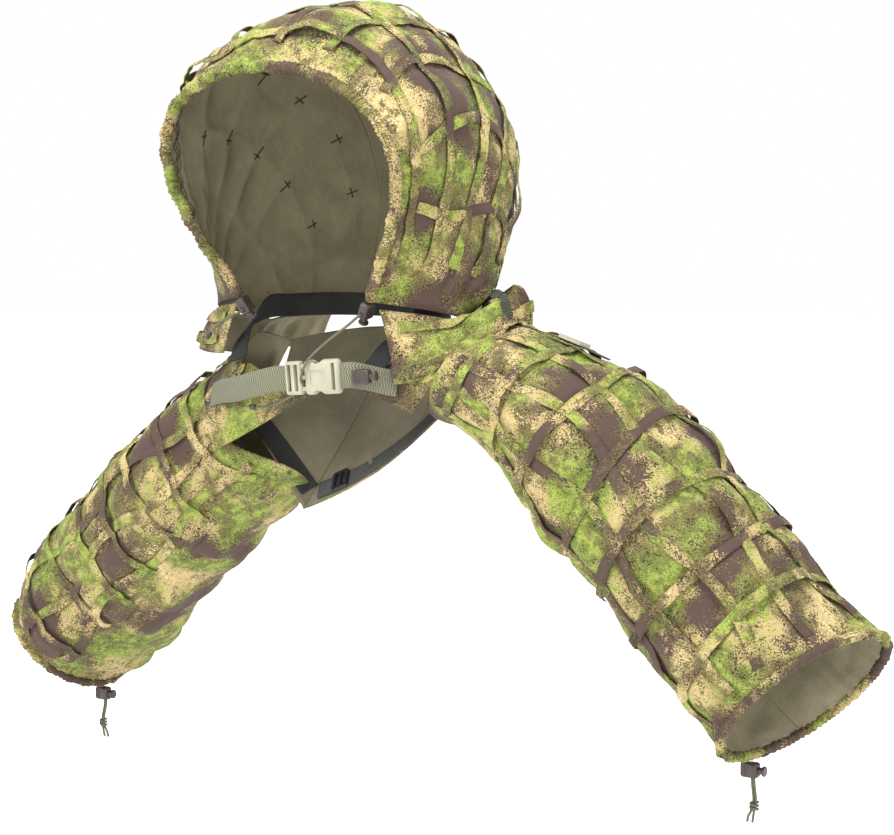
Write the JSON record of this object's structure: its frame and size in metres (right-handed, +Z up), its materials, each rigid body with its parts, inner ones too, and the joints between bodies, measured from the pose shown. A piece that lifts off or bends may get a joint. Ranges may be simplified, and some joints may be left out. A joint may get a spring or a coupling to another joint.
{
  "type": "ghillie hood garment",
  "caption": "Ghillie hood with shoulder yoke, two half sleeves, sewn garnish strips, chest buckle and cord locks; camouflage cloth outside, plain cloth inside.",
  "frame": {"origin": "middle of the base of the neck, where the wearer's shoulders carry the garment", "axes": "+Z up, the wearer faces -Y, the wearer's left hand is at +X"},
  "size_m": [1.0597, 0.3235, 0.8137],
  "materials": {
    "camo_cloth": "matte",
    "plain_cloth": "matte",
    "garnish_strip": "matte",
    "olive_webbing": "matte",
    "black_webbing": "matte",
    "buckle_plastic": "satin",
    "brown_plastic": "satin",
    "black_plastic": "satin",
    "cord": "matte",
    "spring_steel": "satin"
  },
  "bodies": {
    "yoke": {"back_panel_left": "plain_cloth", "back_panel_right": "plain_cloth", "back_edge_webbing_left": "black_webbing", "back_edge_webbing_right": "black_webbing", "shoulder_left": "camo_cloth", "shoulder_right": "camo_cloth", "nape_webbing": "black_webbing", "chest_strap_left": "olive_webbing", "chest_strap_right": "olive_webbing", "buckle_female": "buckle_plastic", "face_cord_tail_left": "cord", "cord_toggle_left": "brown_plastic"},
    "hood": {"hood_middle_gore": "camo_cloth", "hood_side_left": "camo_cloth", "hood_side_right": "camo_cloth", "face_hem_channel": "camo_cloth", "hood_long_strip_left": "garnish_strip", "hood_long_strip_middle": "garnish_strip", "hood_long_strip_right": "garnish_strip", "hood_cross_strip_front": "garnish_strip", "hood_cross_strip_rear": "garnish_strip", "collar_skirt_left": "camo_cloth", "collar_skirt_right": "camo_cloth", "face_cord_tail_right": "cord", "cord_ball_right": "brown_plastic"},
    "sleeve_left": {"sleeve_upper_left": "camo_cloth", "sleeve_under_left": "camo_cloth", "cuff_hem_left": "camo_cloth", "sleeve_long_strip_front_left": "garnish_strip", "sleeve_long_strip_rear_left": "garnish_strip", "sleeve_ring_strip_upper_left": "garnish_strip", "sleeve_ring_strip_lower_left": "garnish_strip", "cuff_cord_tail_left": "cord", "sleeve_webbing_left": "olive_webbing"},
    "sleeve_right": {"sleeve_upper_right": "camo_cloth", "sleeve_under_right": "camo_cloth", "cuff_hem_right": "camo_cloth", "sleeve_long_strip_front_right": "garnish_strip", "sleeve_long_strip_rear_right": "garnish_strip", "sleeve_ring_strip_upper_right": "garnish_strip", "sleeve_ring_strip_lower_right": "garnish_strip", "cuff_cord_tail_right": "cord"},
    "buckle_plug": {"buckle_male": "buckle_plastic"},
    "ladder_lock": {"sleeve_ladder_lock_left": "buckle_plastic"},
    "back_slide": {"back_webbing_slide": "black_plastic"},
    "lock_face_right": {"cord_lock_face_right": "brown_plastic", "lock_spring_face_right": "spring_steel"},
    "plunger_face_right": {"lock_plunger_face_right": "brown_plastic"},
    "lock_face_left": {"cord_lock_face_left": "brown_plastic", "lock_spring_face_left": "spring_steel"},
    "plunger_face_left": {"lock_plunger_face_left": "brown_plastic"},
    "lock_chest": {"cord_lock_chest": "brown_plastic", "lock_spring_chest": "spring_steel"},
    "plunger_chest": {"lock_plunger_chest": "brown_plastic"},
    "lock_cuff_left": {"cord_lock_cuff_left": "brown_plastic", "lock_spring_cuff_left": "spring_steel"},
    "plunger_cuff_left": {"lock_plunger_cuff_left": "brown_plastic"},
    "lock_cuff_right": {"cord_lock_cuff_right": "brown_plastic", "lock_spring_cuff_right": "spring_steel"},
    "plunger_cuff_right": {"lock_plunger_cuff_right": "brown_plastic"}
  },
  "joints": [
    {"name": "hood_fold", "type": "hinge", "parent": "yoke", "child": "hood", "pos_m": [0, 0.118, 0], "axis": [-1, 0, 0], "range_deg": [0, 75], "deforming": ["collar_skirt_left", "collar_skirt_right", "face_cord_tail_left"]},
    {"name": "arm_raise_left", "type": "hinge", "parent": "yoke", "child": "sleeve_left", "pos_m": [0.174, 0.018, 0.002], "axis": [0, -1, 0], "range_deg": [0, 35], "deforming": ["collar_skirt_left"]},
    {"name": "arm_raise_right", "type": "hinge", "parent": "yoke", "child": "sleeve_right", "pos_m": [-0.168, 0.018, -0.06], "axis": [0, 1, 0], "range_deg": [0, 35], "deforming": ["collar_skirt_right"]},
    {"name": "buckle_release", "type": "slide", "parent": "yoke", "child": "buckle_plug", "axis": [-0.9962, 0, -0.0872], "range_m": [0, 0.03], "deforming": ["chest_strap_right", "face_cord_tail_left"]},
    {"name": "ladder_lock_slide", "type": "slide", "parent": "sleeve_left", "child": "ladder_lock", "axis": [0.9403, 0.1188, -0.3189], "range_m": [-0.006, 0.006]},
    {"name": "back_slide_adjust", "type": "slide", "parent": "yoke", "child": "back_slide", "axis": [0.9179, 0.0391, 0.3949], "range_m": [-0.008, 0.008]},
    {"name": "cord_lock_slide_face_right", "type": "slide", "parent": "hood", "child": "lock_face_right", "axis": [0.1398, -0.9584, -0.2488], "range_m": [0, 0.012], "deforming": ["face_cord_tail_right"]},
    {"name": "lock_press_face_right", "type": "slide", "parent": "lock_face_right", "child": "plunger_face_right", "axis": [-0.4695, -0.2853, 0.8355], "range_m": [0, 0.004], "stiffness_N_per_m": 300, "deforming": ["lock_spring_face_right"]},
    {"name": "cord_lock_slide_face_left", "type": "slide", "parent": "hood", "child": "lock_face_left", "axis": [-0.1398, -0.9584, -0.2488], "range_m": [0, 0.012], "deforming": ["face_cord_tail_left"]},
    {"name": "lock_press_face_left", "type": "slide", "parent": "lock_face_left", "child": "plunger_face_left", "axis": [0.4695, -0.2853, 0.8355], "range_m": [0, 0.004], "stiffness_N_per_m": 300, "deforming": ["lock_spring_face_left"]},
    {"name": "cord_lock_slide_chest", "type": "slide", "parent": "yoke", "child": "lock_chest", "axis": [-0.0937, -0.0234, 0.9953], "range_m": [0, 0.005]},
    {"name": "lock_press_chest", "type": "slide", "parent": "lock_chest", "child": "plunger_chest", "axis": [-0.9656, -0.2414, -0.0966], "range_m": [0, 0.004], "stiffness_N_per_m": 300, "deforming": ["lock_spring_chest"]},
    {"name": "cord_lock_slide_cuff_left", "type": "slide", "parent": "sleeve_left", "child": "lock_cuff_left", "axis": [0, 0, -1], "range_m": [0, 0.012], "deforming": ["cuff_cord_tail_left"]},
    {"name": "lock_press_cuff_left", "type": "slide", "parent": "lock_cuff_left", "child": "plunger_cuff_left", "axis": [-1, 0, 0], "range_m": [0, 0.004], "stiffness_N_per_m": 300, "deforming": ["lock_spring_cuff_left"]},
    {"name": "cord_lock_slide_cuff_right", "type": "slide", "parent": "sleeve_right", "child": "lock_cuff_right", "axis": [0, 0, -1], "range_m": [0, 0.012], "deforming": ["cuff_cord_tail_right"]},
    {"name": "lock_press_cuff_right", "type": "slide", "parent": "lock_cuff_right", "child": "plunger_cuff_right", "axis": [-1, 0, 0], "range_m": [0, 0.004], "stiffness_N_per_m": 300, "deforming": ["lock_spring_cuff_right"]}
  ]
}
